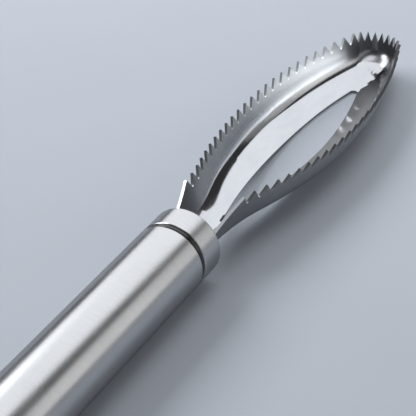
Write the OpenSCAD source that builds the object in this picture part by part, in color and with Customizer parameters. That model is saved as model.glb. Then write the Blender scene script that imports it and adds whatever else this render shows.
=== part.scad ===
// Fish scaler: a pressed, toothed sheet head on a round tube handle.
// The handle lies along X and the open side of the scoop faces up. Handle
// and head both rest on the plane Z = 0. All sizes are in millimetres.

/* [Handle] */
// Outer diameter of the handle tube
tube_d = 20; // [17:0.5:26]
// Wall of the handle tube
tube_wall = 1; // [0.6:0.1:1.6]
// Length of the handle tube
tube_len = 90; // [60:1:140]
// Thickness of the end cap's disc at its edge
cap_rim = 2; // [1.2:0.1:4]
// Height of the end cap's slight dome
cap_rise = 0.8; // [0.2:0.1:2]
// Length of the end cap's spigot inside the tube
cap_spigot = 7; // [3:0.5:15]
// Wall of the end cap's spigot
cap_wall = 1.2; // [0.8:0.1:2]
// Rounding of the end cap's outer edge
cap_round = 0.8; // [0.4:0.1:1]

/* [Collar and ring] */
// Length of the collar in front of the ring
collar_len = 8.1; // [6:0.1:16]
// Step from the tube down to the collar, on the radius
collar_step = 0.05; // [0:0.05:0.4]
// Wall of the collar
collar_wall = 1; // [0.6:0.1:1.4]
// Thickness of the collar's front lip
lip_t = 1; // [0.6:0.1:2]
// Radius of the round mouth in the collar's front lip
mouth_r = 6.9; // [6.7:0.1:7.5]
// Rounding of the outer edges of tube and collar
edge_round = 0.4; // [0.2:0.05:0.5]
// Width of the dark ring between collar and tube
ring_w = 1.5; // [1.2:0.1:3]
// Step from the tube down to the ring's crown, on the radius
ring_step = 0.15; // [0.05:0.05:0.5]

/* [Core] */
// Depth of the core inside the handle tube
core_depth = 14; // [8:0.5:30]
// Gap around the core in the collar, ring and tube
core_gap = 0.15; // [0.05:0.05:0.3]
// Length of the tang behind the collar's front face
tang_len = 17; // [10:0.5:22]
// Gap around the tang in its slot
tang_gap = 0.15; // [0.05:0.05:0.3]

/* [Head outline] */
// Distance from the collar's front face to the crease at the tip
head_len = 128.6; // [122:0.2:140]
// Half width of the neck at the crease
neck_half = 4.7; // [4.3:0.1:5]
// Place of the widest station
widest_x = 70.8; // [66:0.2:78]
// Half width at the crease of the widest station
widest_half = 15.1; // [13:0.1:17]
// Radius of the rounded tip at the crease
tip_r = 6.5; // [5.5:0.1:9]
// Radius of the rear flanks of the leaf
flank_r = 150; // [140:1:165]
// Radius of the hollow curve from the neck into the leaf
hollow_r = 89; // [70:1:95]

/* [Head section] */
// Thickness of the sheet
sheet_t = 0.8; // [0.6:0.1:1.2]
// Outward lean of the side walls, in degrees
wall_lean = 16.5; // [8:0.5:24]
// Outward lean of the wall at the tip, in degrees
tip_lean = 5.5; // [0:0.5:16]
// Height of the wall from the crease to the gullets
wall_h = 3.4; // [2.4:0.1:4]
// Extra height of the wall at the first gullet
neck_rise = 3; // [1:0.1:3.4]
// Station where the extra height begins
rise_x = 70; // [60:1:90]
// Height of the crease below the handle axis at the collar
crease_top = 2.2; // [1.6:0.1:2.5]
// Further drop of the crease at the tip
crease_drop = 2.5; // [1:0.1:4]
// Size of the soft bend at the crease
crease_soft = 0.9; // [0.5:0.1:1.2]
// Depth of the floor below the handle axis at the collar
floor_neck = 5; // [4:0.1:6]
// Station where the floor comes down to the level of the handle's underside
deep_x = 86; // [70:1:100]
// Station where the neck's rounded trough has become the leaf's flatter floor
trough_end = 50; // [40:1:60]
// Tightness of the cove between wall and floor along the leaf
cove_power = 9; // [5:1:12]

/* [Teeth] */
// Pitch of the teeth along the flat blank
tooth_pitch = 4.75; // [4:0.05:6]
// Height of a tooth above its gullet
tooth_h = 3.1; // [2:0.1:4]
// Distance from the crease to the toothed edge of the flat blank
blank_reach = 8.6; // [5:0.1:10]
// Crease station of the first gullet
first_gullet = 18.3; // [16:0.1:21]
// Half width of a gullet's rounded bottom
gullet_half = 0.42; // [0.2:0.02:0.6]
// Rise of the gullet's rounded bottom at that half width
gullet_rise = 0.3; // [0.1:0.02:0.5]
// Height of the plain edge above the crease at the collar
edge_start = 2.6; // [1.4:0.1:3]

/* [Slot] */
// Station of the slot's pointed end
slot_start = 19.4; // [16:0.1:26]
// Station of the slot's widest point
slot_widest = 69.8; // [65:0.1:80]
// Half width of the slot
slot_half = 5.6; // [4.4:0.1:6.5]
// Station of the slot's rounded end
slot_end = 109.2; // [98:0.2:112]
// Radius of the slot's rounded end
slot_end_r = 1.2; // [0.6:0.1:2]

/* [Hidden] */
// Facets of a turned surface
turn = 96;
// Facets of a small rounded corner
corner = 24;
// Facets of the end cap's slight dome
dome_turn = 360;
tube_r = tube_d / 2;
collar_r = tube_r - collar_step;
ring_r = tube_r - ring_step;
tube_front = -collar_len - ring_w;
tube_rear = tube_front - tube_len;
handle_rear = tube_rear - cap_rim - cap_rise;
core_front_r = collar_r - collar_wall - core_gap;
core_rear_r = tube_r - tube_wall - core_gap;
// Radius of the cap's dome, from its height over the flat part of the disc
dome_r = ((tube_r - cap_round) ^ 2 + cap_rise ^ 2) / (2 * cap_rise);
// Depth of the sheet's middle where the head lies on the table with the handle
floor_deep = tube_r - sheet_t / 2;
// How fast the crease falls towards the tip: 1 is a straight fall
crease_power = 1.7;
// How fast the neck's trough steepens from its middle to the crease
trough_power = 1.5;
// Foremost point of the head, which is the middle tooth
head_front = head_len + (wall_h + tooth_h) * tan(tip_lean) + sheet_t / 2 * cos(tip_lean);
// Middle of the whole length, so that the origin lies under the middle
mid_x = (head_front + handle_rear) / 2;
rad = PI / 180;

// The crease line in plan is a chain of tangent pieces on each side: a
// straight neck, a hollow curve, the rear flank, the front flank and the tip.
front_run = head_len - tip_r - widest_x;
front_r = (front_run ^ 2 + widest_half ^ 2 - tip_r ^ 2) / (2 * (widest_half - tip_r));
front_turn = atan2(front_run, front_r - widest_half);
hollow_lift = neck_half + hollow_r - widest_half + flank_r;
hollow_x = widest_x - sqrt((flank_r + hollow_r) ^ 2 - hollow_lift ^ 2);
rear_turn = atan2(widest_x - hollow_x, hollow_lift);

// Lengths of those pieces along the toothed edge of the flat blank. The teeth
// are cut in the blank at an even pitch, so pressing the wall up draws them
// closer round the tip and spreads them where the neck curves in.
hollow_s = hollow_x + (hollow_r - blank_reach) * rear_turn * rad;
rear_s = hollow_s + (flank_r + blank_reach) * rear_turn * rad;
front_s = rear_s + (front_r + blank_reach) * front_turn * rad;
tip_s = front_s + (tip_r + blank_reach) * (90 - front_turn) * rad;

// Crease point at blank length s: [x, y, plan angle of the wall's outward side]
function crease_at(s) =
    s < hollow_x ? [s, neck_half, 0] :
    s < hollow_s ? hollow_point(rear_turn * (s - hollow_x) / (hollow_s - hollow_x)) :
    s < rear_s ? rear_point(rear_turn * (rear_s - s) / (rear_s - hollow_s)) :
    s < front_s ? front_point(front_turn * (s - rear_s) / (front_s - rear_s)) :
    tip_point(front_turn + (90 - front_turn) * (s - front_s) / (tip_s - front_s));
function hollow_point(a) =
    [hollow_x + hollow_r * sin(a), neck_half + hollow_r * (1 - cos(a)), -a];
function rear_point(a) =
    [widest_x - flank_r * sin(a), widest_half - flank_r * (1 - cos(a)), -a];
function front_point(a) =
    [widest_x + front_r * sin(a), widest_half - front_r * (1 - cos(a)), a];
function tip_point(a) =
    [head_len - tip_r * (1 - sin(a)), tip_r * cos(a), a];

// Height of the crease line, and of the gullets above it
function crease_z(x) = -crease_top - crease_drop * (max(x, 0) / head_len) ^ crease_power;
function gullet_h(x) =
    wall_h + neck_rise * (max(rise_x - x, 0) / (rise_x - first_gullet)) ^ 2;
// The wall stands steeper at the tip and leans out along the sides
function lean_at(a) = a > 0 ? tip_lean + (wall_lean - tip_lean) * cos(a) ^ 2 : wall_lean;

// Floor height along the middle, falling smoothly from neck to leaf
function floor_z(x) =
    -floor_neck - (floor_deep - floor_neck) * (1 - cos(180 * min(max(x, 0) / deep_x, 1))) / 2;

// The slot's outline: two flank arcs and a small rounded end
slot_back = slot_widest - slot_start;
slot_back_r = (slot_back ^ 2 + slot_half ^ 2) / (2 * slot_half);
slot_run = slot_end - slot_end_r - slot_widest;
slot_front_r = (slot_run ^ 2 + slot_half ^ 2 - slot_end_r ^ 2) / (2 * (slot_half - slot_end_r));
slot_turn = atan2(slot_run, slot_front_r - slot_half);
function slot_back_y(x) = slot_half - slot_back_r + sqrt(slot_back_r ^ 2 - (slot_widest - x) ^ 2);
function slot_front_point(a) =
    [slot_widest + slot_front_r * sin(a), slot_half - slot_front_r * (1 - cos(a))];
function slot_end_point(a) =
    [slot_end - slot_end_r * (1 - sin(a)), slot_end_r * cos(a)];

// Inner end of a section in plan: on the middle line along the neck, on the
// slot's outline along the leaf
function inner_end(k) =
    let (share = (k.x - slot_start) / (widest_x - slot_start))
    let (x = slot_start + share * slot_back)
    k.x <= slot_start ? [k.x, 0] :
    k.z <= 0 ? [x, slot_back_y(x)] :
    k.z <= front_turn ? slot_front_point(slot_turn * k.z / front_turn) :
    slot_end_point(slot_turn + (90 - slot_turn) * (k.z - front_turn) / (90 - front_turn));

// Columns of the sheet from the collar to the tip: [blank length, rim height]
first_angle = asin((first_gullet - hollow_x) / hollow_r);
first_s = hollow_x + (hollow_r - blank_reach) * first_angle * rad;
side_teeth = round((tip_s - first_s) / tooth_pitch - 0.5);
pitch_s = (tip_s - first_s) / (side_teeth + 0.5);
edge_end_s = first_s - pitch_s / 2;
edge_end_h = gullet_h(crease_at(edge_end_s).x) + tooth_h;
edge_steps = 6;
function gullet_column(s, rise) = [s, gullet_h(crease_at(s).x) + rise];
columns = concat(
    [[-tang_len, edge_start]],
    [for (i = [0:edge_steps])
        [edge_end_s * i / edge_steps, edge_start + (edge_end_h - edge_start) * i / edge_steps]],
    [for (i = [0:side_teeth]) let (s = first_s + i * pitch_s)
        each [
            gullet_column(s - gullet_half, gullet_rise),
            gullet_column(s, 0),
            gullet_column(s + gullet_half, gullet_rise),
            gullet_column(s + pitch_s / 2, tooth_h)
        ]]
);

// The dish across the floor, where u falls from 1 at the crease to 0 at the
// inner end: a rounded trough in the neck, then a cove and a flat floor
function flatness(x) = min(max((x - slot_start) / (trough_end - slot_start), 0), 1);
function dish_fall(x, u) =
    (1 - flatness(x)) * u ^ trough_power + flatness(x) * (u + u ^ 2 + u ^ cove_power) / 3;
function dish_slope(x, u) =
    (1 - flatness(x)) * trough_power * u ^ (trough_power - 1)
    + flatness(x) * (1 + 2 * u + cove_power * u ^ (cove_power - 1)) / 3;

// Share of the way from the crease to the inner end, for each floor row
floor_rows = [0.13, 0.21, 0.31, 0.46, 0.7, 1];
soft_share = 0.06;

// One point of the dished floor at share v, and the downward side there
function floor_point(k, e, v) =
    let (p = [k.x, k.y] + (e - [k.x, k.y]) * v)
    [p.x, p.y, floor_z(e.x) + (crease_z(k.x) - floor_z(e.x)) * dish_fall(k.x, 1 - v)];
function floor_side(k, e, v) =
    let (run = norm(e - [k.x, k.y]))
    let (inward = (e - [k.x, k.y]) / run)
    let (drop = crease_z(k.x) - floor_z(e.x))
    let (slope = atan(drop * dish_slope(k.x, 1 - v) / run))
    e.y == 0 && v == 1 ? [0, 0, -1] :
    [-inward.x * sin(slope), -inward.y * sin(slope), -cos(slope)];
// One point of the wall at height h above the crease, and its outward side
function wall_point(k, h) =
    let (out = h * tan(lean_at(k.z)))
    [k.x + out * sin(k.z), k.y + out * cos(k.z), crease_z(k.x) + h];
function wall_side(k) =
    let (a = lean_at(k.z))
    [cos(a) * sin(k.z), cos(a) * cos(k.z), -sin(a)];

// A section through the sheet's middle, rim first: pairs of point and side
function section(k, rim_h) =
    let (e = inner_end(k))
    let (above = wall_point(k, crease_soft))
    let (below = floor_point(k, e, soft_share))
    let (bend = (above + 2 * wall_point(k, 0) + below) / 4)
    let (bend_side = wall_side(k) + floor_side(k, e, soft_share))
    concat(
        [[wall_point(k, rim_h), wall_side(k)]],
        [[above, wall_side(k)]],
        [[bend, bend_side / norm(bend_side)]],
        [[below, floor_side(k, e, soft_share)]],
        [for (v = floor_rows) [floor_point(k, e, v), floor_side(k, e, v)]]
    );
function station(s) = s < 0 ? [s, neck_half, 0] : crease_at(s);

// Every point of one half of the sheet, on its inner or its outer skin
half_sections = [for (c = columns) section(station(c[0]), c[1])];
function skin(shift) = [for (rows = half_sections) [for (p = rows) p[0] + p[1] * shift]];

module scaler_head_sheet() {
    last = len(columns) - 1;
    rows = len(half_sections[0]);
    wide = 2 * last + 1;
    skins = [skin(-sheet_t / 2), skin(sheet_t / 2)];
    points = [for (k = [0, 1]) for (c = [0:wide - 1]) for (j = [0:rows - 1])
        let (p = skins[k][min(c, 2 * last - c)][j])
        [p.x, c <= last ? -p.y : p.y, p.z]];
    // The two halves share the points on the middle line of the neck
    shared = [for (c = columns) inner_end(station(c[0])).y == 0];
    function index(k, c, j) =
        let (near = 2 * last - c)
        let (same = j == rows - 1 && c > last && shared[near])
        (k * wide + (same ? near : c)) * rows + j;
    function two(a, b, c, d) = [[a, b, c], [a, c, d]];
    inner = [for (c = [0:wide - 2]) for (j = [0:rows - 2])
        each two(index(0, c, j), index(0, c, j + 1), index(0, c + 1, j + 1), index(0, c + 1, j))];
    outer = [for (c = [0:wide - 2]) for (j = [0:rows - 2])
        each two(index(1, c, j), index(1, c + 1, j), index(1, c + 1, j + 1), index(1, c, j + 1))];
    rim = [for (c = [0:wide - 2])
        each two(index(0, c, 0), index(0, c + 1, 0), index(1, c + 1, 0), index(1, c, 0))];
    slot_edge = [for (c = [0:wide - 2])
        let (i = min(c, 2 * last - c), n = min(c + 1, 2 * last - c - 1))
        if (!(shared[i] && shared[n]))
            each two(index(1, c, rows - 1), index(1, c + 1, rows - 1),
                index(0, c + 1, rows - 1), index(0, c, rows - 1))];
    ends = [for (c = [0, wide - 1]) for (j = [0:rows - 2])
        each c == 0 ?
            two(index(0, c, j), index(1, c, j), index(1, c, j + 1), index(0, c, j + 1)) :
            two(index(1, c, j), index(0, c, j), index(0, c, j + 1), index(1, c, j + 1))];
    polyhedron(points, concat(inner, outer, rim, slot_edge, ends));
}

// The tang's outline across the handle, grown by a gap on every side
function tang_outline(gap) =
    let (rows = section(station(-1), edge_start + gap))
    let (half = sheet_t / 2 + gap)
    let (low = [for (p = rows) p[0] + p[1] * half])
    let (high = [for (p = rows) p[0] - p[1] * half])
    let (last = len(rows) - 1)
    concat(
        [for (i = [0:last]) [low[i].y, low[i].z]],
        [for (i = [last - 1:-1:0]) [-low[i].y, low[i].z]],
        [for (i = [0:last]) [-high[i].y, high[i].z]],
        [for (i = [last - 1:-1:0]) [high[i].y, high[i].z]]
    );

// Places a piece that is drawn with its axis along X at the handle's height
module placed() {
    translate([-mid_x, 0, tube_r]) children();
}
// Turns a profile about the handle axis: profile X is radius, profile Y is length
module turned() {
    rotate([0, 90, 0]) rotate_extrude($fn = turn) children();
}
// Ring section from x0 to x1 with both outer corners rounded
module rounded_ring(inner, outer, x0, x1, round_r) {
    translate([inner, x0]) square([outer - round_r - inner, x1 - x0]);
    translate([inner, x0 + round_r]) square([outer - inner, x1 - x0 - 2 * round_r]);
    for (x = [x0 + round_r, x1 - round_r]) {
        translate([outer - round_r, x]) circle(r = round_r, $fn = corner);
    }
}

module scaler_head() {
    color([0.78, 0.8, 0.83]) placed() scaler_head_sheet();
}

module collar() {
    color([0.7, 0.7, 0.7]) placed() turned() {
        rounded_ring(collar_r - collar_wall, collar_r, -collar_len, 0, edge_round);
        translate([mouth_r, -lip_t]) square([collar_r - edge_round - mouth_r, lip_t]);
    }
}

module spacer_ring() {
    color([0.05, 0.05, 0.06]) placed() turned() {
        rounded_ring(core_rear_r + core_gap, ring_r, tube_front, -collar_len, edge_round);
    }
}

module handle_tube() {
    color([0.72, 0.72, 0.72]) placed() turned() {
        rounded_ring(tube_r - tube_wall, tube_r, tube_rear, tube_front, edge_round);
    }
}

module tang_core() {
    color([0.12, 0.12, 0.13]) placed() difference() {
        turned() {
            translate([0, -collar_len]) square([core_front_r, collar_len - lip_t]);
            translate([0, tube_front - core_depth])
                square([core_rear_r, core_depth + ring_w]);
        }
        translate([-tang_len - tang_gap, 0, 0]) rotate([90, 0, 90])
            linear_extrude(tang_len + tang_gap) polygon(tang_outline(tang_gap));
    }
}

module end_cap() {
    color([0.72, 0.72, 0.72]) placed() turned() {
        intersection() {
            translate([0, handle_rear]) square([tube_r - cap_round, cap_rim + cap_rise]);
            translate([0, handle_rear + dome_r]) circle(r = dome_r, $fn = dome_turn);
        }
        translate([0, tube_rear - cap_rim + cap_round]) square([tube_r, cap_rim - cap_round]);
        translate([tube_r - cap_round, tube_rear - cap_rim + cap_round])
            circle(r = cap_round, $fn = corner);
        translate([tube_r - tube_wall - core_gap - cap_wall, tube_rear])
            square([cap_wall, cap_spigot]);
    }
}

scaler_head();
collar();
spacer_ring();
handle_tube();
tang_core();
end_cap();
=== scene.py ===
import math

import bmesh
import bpy
from mathutils import Matrix, Vector


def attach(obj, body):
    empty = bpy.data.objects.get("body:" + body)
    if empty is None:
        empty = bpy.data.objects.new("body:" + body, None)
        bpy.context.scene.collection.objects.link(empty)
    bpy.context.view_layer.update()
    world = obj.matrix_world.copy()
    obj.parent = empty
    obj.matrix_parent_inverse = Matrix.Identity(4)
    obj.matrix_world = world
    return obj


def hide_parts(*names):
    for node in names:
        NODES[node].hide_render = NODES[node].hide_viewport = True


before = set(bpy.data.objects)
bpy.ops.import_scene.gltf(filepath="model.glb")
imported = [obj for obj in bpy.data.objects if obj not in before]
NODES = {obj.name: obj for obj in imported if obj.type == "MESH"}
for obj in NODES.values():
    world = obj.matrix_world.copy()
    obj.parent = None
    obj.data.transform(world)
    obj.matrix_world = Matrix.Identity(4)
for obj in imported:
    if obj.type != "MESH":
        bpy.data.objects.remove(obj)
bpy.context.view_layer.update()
MM = 0.001
# Height of the handle's axis above the table, in millimetres
AXIS_HEIGHT = 10.0


# Colour and material helpers

# Most of a noise's values lie between these two
NOISE_LOW = 0.3
NOISE_HIGH = 0.7
# The Mix node repeats its sockets' names, so its colour sockets go by number
MIX_FIRST = 6
MIX_SECOND = 7
MIX_COLOUR = 2


def linear(hex_colour):
    """sRGB hex to the linear RGBA that a socket takes."""
    channels = [int(hex_colour[i:i + 2], 16) / 255 for i in (1, 3, 5)]
    return [c / 12.92 if c <= 0.04045 else ((c + 0.055) / 1.055) ** 2.4
            for c in channels] + [1.0]


def add(tree, kind, links=None, **settings):
    """Adds a node: settings are its properties, links its inputs by name or number."""
    made = tree.nodes.new(kind)
    for key, value in settings.items():
        setattr(made, key, value)
    for key, value in (links or {}).items():
        socket = made.inputs[key]
        if isinstance(value, bpy.types.NodeSocket):
            tree.links.new(value, socket)
        else:
            socket.default_value = value
    return made


def new_material(name):
    """An empty material, its node tree and the object's own coordinates in metres."""
    material = bpy.data.materials.new(name)
    material.use_nodes = True
    tree = material.node_tree
    tree.nodes.clear()
    at = add(tree, "ShaderNodeTexCoord").outputs["Object"]
    return material, tree, at


def finished(material, tree, inputs):
    """The material, with its one shader made from these inputs."""
    shader = add(tree, "ShaderNodeBsdfPrincipled", inputs)
    add(tree, "ShaderNodeOutputMaterial", {"Surface": shader.outputs[0]})
    return material


def grain(tree, at, wave, detail=2.0, rough=0.5):
    """Noise whose waves are about wave = (x, y, z) millimetres long."""
    stretched = add(tree, "ShaderNodeMapping", {
        "Vector": at, "Scale": [1 / (w * MM) for w in wave]})
    return add(tree, "ShaderNodeTexNoise", {
        "Vector": stretched.outputs[0], "Scale": 1.0, "Detail": detail,
        "Roughness": rough}).outputs["Fac"]


def spread(tree, value, low, high):
    """Stretches a noise to the values low to high."""
    return add(tree, "ShaderNodeMapRange", {
        "Value": value, "From Min": NOISE_LOW, "From Max": NOISE_HIGH,
        "To Min": low, "To Max": high}).outputs[0]


def tint(tree, value, dark, light):
    """Colour that a noise moves between two near tones."""
    ramp = add(tree, "ShaderNodeValToRGB", {"Fac": value})
    ramp.color_ramp.elements[0].position = NOISE_LOW
    ramp.color_ramp.elements[0].color = linear(dark)
    ramp.color_ramp.elements[1].position = NOISE_HIGH
    ramp.color_ramp.elements[1].color = linear(light)
    return ramp.outputs["Color"]


def relief(tree, height, depth, below=None):
    """Bump of a pattern that is depth millimetres high, over another bump's normal."""
    links = {"Height": height, "Strength": 1.0, "Distance": depth * MM}
    if below is not None:
        links["Normal"] = below
    return add(tree, "ShaderNodeBump", links).outputs["Normal"]


def painted(tree, name):
    """A value from 0 to 1 that the mesh holds at its points under this name."""
    return add(tree, "ShaderNodeAttribute", attribute_name=name).outputs["Fac"]


def blend(tree, amount, first, second):
    """The first colour where amount is 0, the second where it is 1."""
    return add(tree, "ShaderNodeMix", {
        "Factor": amount, MIX_FIRST: first, MIX_SECOND: second},
        data_type="RGBA").outputs[MIX_COLOUR]


# Materials

# Steel reflects less just before the grazing angle. It is drawn stronger than real, since
# the outline of the photographed tube is dark.
EDGE_DIP = (0.65, 0.65, 0.66, 1.0)


def polished_sheet():
    """Stainless sheet, pressed and then polished: nearly a mirror, with the faint waves that
    the press leaves, hair scratches along the head and a few duller handling marks. The
    scratches are about 0.02 mm apart, drawn here 0.12 mm apart so that they show. The wheel
    reaches the walls less well than the floor, so they stay satin. Inside, the wall's colour
    holds painted shade near the neck and a painted highlight near the tip: a darker and a
    lighter base colour that stand in for the reflections there."""
    material, tree, at = new_material("polished_stainless_sheet")
    waves = grain(tree, at, (9, 7, 7), detail=1.0)
    hair = grain(tree, at, (6, 0.12, 0.12), detail=3.0)
    marks = grain(tree, at, (14, 5, 5), detail=4.0, rough=0.6)
    # Painted shade and highlight: the wall's inside is painted darker near the neck and lighter
    # near the tip, in place of the reflections that the lamps give there
    colour = blend(tree, painted(tree, "neck_painted_shade"),
                   tint(tree, marks, "#a9abae", "#b1b3b6"),
                   tint(tree, marks, "#939597", "#9b9d9f"))
    colour = blend(tree, painted(tree, "tip_painted_highlight"),
                   colour, tint(tree, marks, "#cccecf", "#d4d6d7"))
    polish = spread(tree, marks, 0.06, 0.12)
    roughness = add(tree, "ShaderNodeMapRange", {
        "Value": painted(tree, "satin_wall"), "To Min": polish, "To Max": 0.3}).outputs[0]
    normal = relief(tree, waves, 0.006)
    normal = relief(tree, hair, 0.0006, below=normal)
    return finished(material, tree, {
        "Base Color": colour,
        "Metallic": 1.0,
        "Roughness": roughness,
        "Normal": normal})


def cut_edge(name, dark, light, smooth, rough, depth):
    """A cut edge of the sheet, with the fine lines that the tool leaves across its
    thickness. They are drawn 0.2 mm apart, coarser than real, so that they show."""
    material, tree, at = new_material(name)
    lines = grain(tree, at, (0.2, 0.2, 2.5), detail=1.0)
    return finished(material, tree, {
        "Base Color": tint(tree, lines, dark, light),
        "Metallic": 1.0,
        "Roughness": spread(tree, lines, smooth, rough),
        "Normal": relief(tree, lines, depth)})


def brushed_tube():
    """Stainless tube, ground on a fine belt: satin, with hairlines round the tube. A belt
    of fine grit leaves lines about 0.02 mm apart, drawn here 0.15 mm apart so that they show."""
    material, tree, at = new_material("satin_stainless_tube")
    lines = grain(tree, at, (0.15, 5, 5), detail=3.0)
    cloud = grain(tree, at, (22, 9, 9), detail=3.0)
    return finished(material, tree, {
        "Base Color": tint(tree, lines, "#b3b4b5", "#babbbc"),
        "Metallic": 1.0,
        "Roughness": spread(tree, cloud, 0.22, 0.29),
        "Specular Tint": EDGE_DIP,
        "Normal": relief(tree, lines, 0.0012)})


def turned_cap():
    """The same steel faced on a lathe: satin, with rings 0.25 mm apart about the axis."""
    material, tree, at = new_material("turned_stainless_cap")
    centred = add(tree, "ShaderNodeMapping", {
        "Vector": at, "Location": (0.0, 0.0, -AXIS_HEIGHT * MM), "Scale": (0.0, 1.0, 1.0)})
    radius = add(tree, "ShaderNodeVectorMath", {0: centred.outputs[0]}, operation="LENGTH")
    rings = add(tree, "ShaderNodeTexNoise", {
        "W": radius.outputs["Value"], "Scale": 1 / (0.25 * MM), "Detail": 2.0},
        noise_dimensions="1D").outputs["Fac"]
    return finished(material, tree, {
        "Base Color": tint(tree, rings, "#b0b1b2", "#babbbc"),
        "Metallic": 1.0,
        "Roughness": spread(tree, rings, 0.2, 0.3),
        "Normal": relief(tree, rings, 0.002)})


def glossy_ring():
    """Moulded acetal: black and glossy, with the slight unevenness of a moulded face."""
    material, tree, at = new_material("glossy_black_acetal")
    skin = grain(tree, at, (1.2, 1.2, 1.2), detail=2.0)
    return finished(material, tree, {
        "Base Color": tint(tree, skin, "#0b0c0d", "#121315"),
        "Roughness": spread(tree, skin, 0.16, 0.26),
        "IOR": 1.48,
        "Normal": relief(tree, skin, 0.004)})


def core_plastic():
    """Moulded nylon, matt charcoal. A spark-eroded mould leaves pits about 0.1 mm wide,
    drawn here 0.3 mm wide so that they show."""
    material, tree, at = new_material("matt_charcoal_nylon")
    pits = grain(tree, at, (0.3, 0.3, 0.3), detail=3.0)
    return finished(material, tree, {
        "Base Color": tint(tree, pits, "#202124", "#2b2c2f"),
        "Roughness": spread(tree, pits, 0.5, 0.7),
        "IOR": 1.53,
        "Normal": relief(tree, pits, 0.02)})


def floor_paint():
    """Matt painted board of the studio table: pale blue-grey, and hardly any sheen."""
    material, tree, at = new_material("matt_painted_board")
    mottle = grain(tree, at, (60, 60, 60), detail=2.0)
    return finished(material, tree, {
        "Base Color": tint(tree, mottle, "#c5cbd3", "#c7cdd5"),
        "Roughness": 0.9,
        "Specular IOR Level": 0.1})


def dress(node, material):
    """Gives a CAD node this material alone."""
    slots = NODES[node].data.materials
    slots.clear()
    slots.append(material)


SHEET = polished_sheet()
# The blanking tool leaves the toothed edge light and satin
EDGE = cut_edge("sheared_stainless_edge", "#bbbdbf", "#c6c8ca", 0.3, 0.38, 0.001)
# The punch leaves the slot's edge burnished and smoother, and its colour is painted dark:
# painted shade that draws a thin dark line round the slot, where the edge faces the shadowed
# table under the head
SLOT_EDGE = cut_edge("punched_edge_painted_dark", "#5c5e60", "#66686a", 0.16, 0.22, 0.0006)
TUBE = brushed_tube()
dress("scaler_head", SHEET)
dress("collar", TUBE)
dress("handle_tube", TUBE)
dress("end_cap", turned_cap())
dress("spacer_ring", glossy_ring())
dress("tang_core", core_plastic())


# The pressed head

# Faces that turn less than this many radians at an edge are facets of one curve
FLAT_TURN = 0.9
# Faces that turn more than this meet at a real edge. Edges that do meet at a real point.
SHARP_TURN = 1.3
# The angle taken for an edge without two faces, so that it is never flat or never sharp
NOT_FLAT = 9
NOT_SHARP = 0
WELD = 0.002 * MM
ROUNDING_LEVELS = 2

# The crease between floor and wall, with the source's names and values
COLLAR_FRONT = -13.612 * MM
HEAD_LEN = 128.6 * MM
CREASE_TOP = 2.2
CREASE_DROP = 2.5
CREASE_POWER = 1.7

# Where the satin finish, the painted shade and the painted highlight of the wall's inside lie:
# the wall takes over from the floor within
# WALL_RISE of the crease, and near the tip it starts TIP_LOWER below the crease
WALL_RISE = 0.9 * MM
TIP_LOWER = 2.4 * MM
# Along X, the painted shade near the neck fades out towards the end set next
NECK_SHADE_END = 84 * MM
NECK_SHADE_FADE = 40 * MM
# and the painted highlight near the tip fades in from TIP_START and out before TIP_END
TIP_START = 50 * MM
TIP_RISE = 38 * MM
TIP_END = 113 * MM
TIP_FADE = 7 * MM

# Material slots of the head
SKIN_SLOT = 0
EDGE_SLOT = 1
PUNCHED_SLOT = 2


def crease_height(x):
    """Height of the line where the dished floor turns up into the wall."""
    along = max(x - COLLAR_FRONT, 0.0) / HEAD_LEN
    return (AXIS_HEIGHT - CREASE_TOP - CREASE_DROP * along ** CREASE_POWER) * MM


def share(value):
    """The value, held between 0 and 1."""
    return min(max(value, 0.0), 1.0)


def join_facets(bm):
    """Takes out the edges that cut the sheet's curves into triangles."""
    def longest(edge, face):
        return all(edge.calc_length() >= other.calc_length() for other in face.edges)

    across = [e for e in bm.edges if e.calc_face_angle(NOT_FLAT) < FLAT_TURN
              and all(longest(e, f) for f in e.link_faces)]
    bmesh.ops.dissolve_edges(bm, edges=across, use_verts=False)
    bmesh.ops.join_triangles(
        bm, faces=[f for f in bm.faces if len(f.verts) == 3],
        angle_face_threshold=FLAT_TURN, angle_shape_threshold=math.pi)


def keep_sharp(bm, edge_crease, point_crease):
    """Creases the edges of the cut faces and the points of the teeth."""
    for edge in bm.edges:
        if edge.calc_face_angle(NOT_SHARP) > SHARP_TURN:
            edge.smooth = False
            edge[edge_crease] = 1.0
    for vert in bm.verts:
        cut = [e for e in vert.link_edges if not e.smooth]
        if len(cut) == 2:
            ways = [(e.other_vert(vert).co - vert.co) for e in cut]
            if math.pi - ways[0].angle(ways[1]) > SHARP_TURN:
                vert[point_crease] = 1.0
        elif len(cut) > 2:
            vert[point_crease] = 1.0


def skins(bm):
    """The sheet's inner and outer faces: the two largest areas that no sharp edge divides."""
    left = set(bm.faces)
    areas = []
    while left:
        area = [left.pop()]
        for face in area:
            for edge in face.edges:
                if edge.smooth:
                    new = [f for f in edge.link_faces if f in left]
                    left.difference_update(new)
                    area.extend(new)
        areas.append(area)
    areas.sort(key=lambda area: -sum(f.calc_area() for f in area))
    return sorted(areas[:2], key=lambda area: -sum(f.normal.z * f.calc_area() for f in area))


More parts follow.
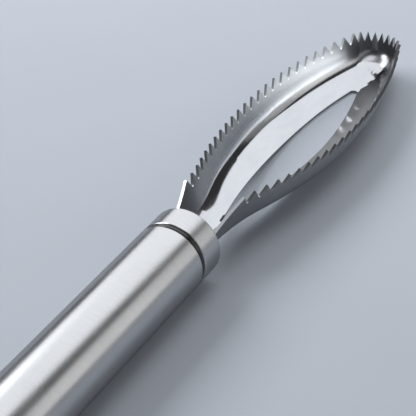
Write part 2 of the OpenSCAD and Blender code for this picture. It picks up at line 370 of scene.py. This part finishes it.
def rounded_head():
    """The pressed head with its facets rounded off, since a mirror finish shows every flat.

    It starts from a merged copy of the head's own mesh. The sheet's cut edges and the points
    of the teeth stay sharp, and the roots between the teeth become round."""
    bm = bmesh.new()
    bm.from_mesh(NODES["scaler_head"].data)
    bmesh.ops.remove_doubles(bm, verts=bm.verts, dist=WELD)
    join_facets(bm)

    edge_crease = bm.edges.layers.float.new("crease_edge")
    point_crease = bm.verts.layers.float.new("crease_vert")
    satin_wall = bm.verts.layers.float.new("satin_wall")
    neck_painted_shade = bm.verts.layers.float.new("neck_painted_shade")
    tip_painted_highlight = bm.verts.layers.float.new("tip_painted_highlight")
    keep_sharp(bm, edge_crease, point_crease)

    # Cut faces below the crease are the slot's, and the rest belong to teeth, neck and tang
    for face in bm.faces:
        face.smooth = True
        middle = face.calc_center_median()
        punched = middle.x > COLLAR_FRONT and middle.z < crease_height(middle.x)
        face.material_index = PUNCHED_SLOT if punched else EDGE_SLOT
    inside, outside = skins(bm)
    for face in inside + outside:
        face.material_index = SKIN_SLOT
    for vert in {v for face in outside for v in face.verts}:
        vert[satin_wall] = 1.0
    for vert in {v for face in inside for v in face.verts}:
        tip = share((vert.co.x - TIP_START) / TIP_RISE)
        above = share((vert.co.z - crease_height(vert.co.x) + TIP_LOWER * tip) / WALL_RISE)
        vert[satin_wall] = above
        # Painted shade near the neck and painted highlight near the tip, on the wall's inside
        # above the crease
        vert[neck_painted_shade] = above * share((NECK_SHADE_END - vert.co.x) / NECK_SHADE_FADE)
        vert[tip_painted_highlight] = above * tip * share((TIP_END - vert.co.x) / TIP_FADE)

    mesh = bpy.data.meshes.new("pressed_head")
    bm.to_mesh(mesh)
    bm.free()
    for material in (SHEET, EDGE, SLOT_EDGE):
        mesh.materials.append(material)
    head = bpy.data.objects.new("pressed_head", mesh)
    bpy.context.scene.collection.objects.link(head)
    rounder = head.modifiers.new("rounded", "SUBSURF")
    rounder.levels = ROUNDING_LEVELS
    rounder.render_levels = ROUNDING_LEVELS
    rounder.use_limit_surface = True
    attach(head, "root")
    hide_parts("scaler_head")


rounded_head()


# Floor

# Half of the board's side, in metres
FLOOR_HALF = 1.6


def studio_floor():
    """The board that the tool lies on."""
    mesh = bpy.data.meshes.new("studio_floor")
    bm = bmesh.new()
    bmesh.ops.create_grid(bm, x_segments=1, y_segments=1, size=FLOOR_HALF)
    bm.to_mesh(mesh)
    bm.free()
    mesh.materials.append(floor_paint())
    floor = bpy.data.objects.new("studio_floor", mesh)
    bpy.context.scene.collection.objects.link(floor)


studio_floor()


# Light, in metres

TOOL_MIDDLE = Vector((0.02, 0.0, 0.01))
ALONG_TOOL = (1.0, 0.0, 0.0)
COOL_WHITE = "#f9fbff"
WARM_WHITE = "#fffefc"
# The side panel's lamps all start PANEL_START along PANEL_RUN from this point, which is
# measured from the tool's middle
PANEL_POINT = Vector((0.662, -0.545, 0.272))
PANEL_RUN = Vector((0.677, 0.659, -0.328))
PANEL_START = -0.4
PANEL_LENGTHS = (0.40, 0.51, 0.62)


def softbox(name, towards, across, distance, size, brightness, colour):
    """A rectangular soft lamp that faces the tool.

    towards is its direction from the tool, across the way its first side runs, and brightness
    that of its face, where 1 lights a white wall that it fills to white."""
    data = bpy.data.lights.new(name, "AREA")
    data.shape = "RECTANGLE"
    data.size, data.size_y = size
    data.energy = brightness * math.pi * size[0] * size[1]
    data.color = linear(colour)[:3]
    back = Vector(towards).normalized()
    side = (Vector(across) - back * back.dot(Vector(across))).normalized()
    turn = Matrix((side, back.cross(side), back)).transposed().to_4x4()
    lamp = bpy.data.objects.new(name, data)
    bpy.context.scene.collection.objects.link(lamp)
    lamp.matrix_world = Matrix.Translation(TOOL_MIDDLE + back * distance) @ turn


softbox("front_softbox", towards=(0.736, 0.265, 0.624), across=(0.0, -0.920, 0.391),
        distance=1.0, size=(1.32, 0.9), brightness=1.68, colour=COOL_WHITE)
# The side panel is brightest at the handle's end, so it is three lamps that share that end
for number, length in enumerate(PANEL_LENGTHS, start=1):
    softbox("side_panel_%d" % number,
            towards=PANEL_POINT + (length / 2 + PANEL_START) * PANEL_RUN,
            across=(0.0, -0.446, -0.895),
            distance=0.9, size=(0.48, length), brightness=0.27, colour=WARM_WHITE)
# The high softbox throws the shadow
softbox("high_softbox", towards=(0.1, 0.76, 0.64), across=ALONG_TOOL,
        distance=1.2, size=(1.1, 0.6), brightness=4.9, colour=COOL_WHITE)
softbox("overhead_softbox", towards=(0.12, 0.02, 1.0), across=ALONG_TOOL,
        distance=1.2, size=(0.5, 0.6), brightness=1.8, colour=COOL_WHITE)


# The room's brightness, and the Y of the view's direction at which it takes each value
LIT_SIDE, LIT_SIDE_AT = 0.4, -0.75
DARK_SIDE, DARK_SIDE_AT = 0.06, -0.45


def studio_room():
    """A dim room, a little lighter on the side away from the high softbox."""
    world = bpy.data.worlds.new("studio_room")
    bpy.context.scene.world = world
    world.use_nodes = True
    tree = world.node_tree
    tree.nodes.clear()
    way = add(tree, "ShaderNodeTexCoord").outputs["Generated"]
    across = add(tree, "ShaderNodeSeparateXYZ", {"Vector": way}).outputs["Y"]
    level = add(tree, "ShaderNodeMapRange", {
        "Value": across, "From Min": LIT_SIDE_AT, "From Max": DARK_SIDE_AT,
        "To Min": LIT_SIDE, "To Max": DARK_SIDE})
    room = add(tree, "ShaderNodeBackground", {
        "Color": linear("#fbfcff"), "Strength": level.outputs[0]})
    add(tree, "ShaderNodeOutputWorld", {"Surface": room.outputs[0]})


studio_room()


# Camera, as solved from the photograph, in metres

CAMERA_AT = (-0.31435, -0.16726, 0.24763)
CAMERA_RIGHT = (0.47203, -0.88158, -0.00002)
CAMERA_UP = (0.48590, 0.26015, 0.83440)
CAMERA_BACK = (-0.73559, -0.39387, 0.55116)


def photo_camera():
    """A long lens from behind and above the handle, at the photograph's angle."""
    data = bpy.data.cameras.new("photo_camera")
    data.sensor_width = 36.0
    data.lens = 139.15
    data.clip_start = 0.01
    data.clip_end = 20.0
    turn = Matrix((CAMERA_RIGHT, CAMERA_UP, CAMERA_BACK)).transposed().to_4x4()
    camera = bpy.data.objects.new("photo_camera", data)
    bpy.context.scene.collection.objects.link(camera)
    camera.matrix_world = Matrix.Translation(CAMERA_AT) @ turn
    bpy.context.scene.camera = camera


photo_camera()
bpy.context.scene.view_settings.view_transform = "Standard"
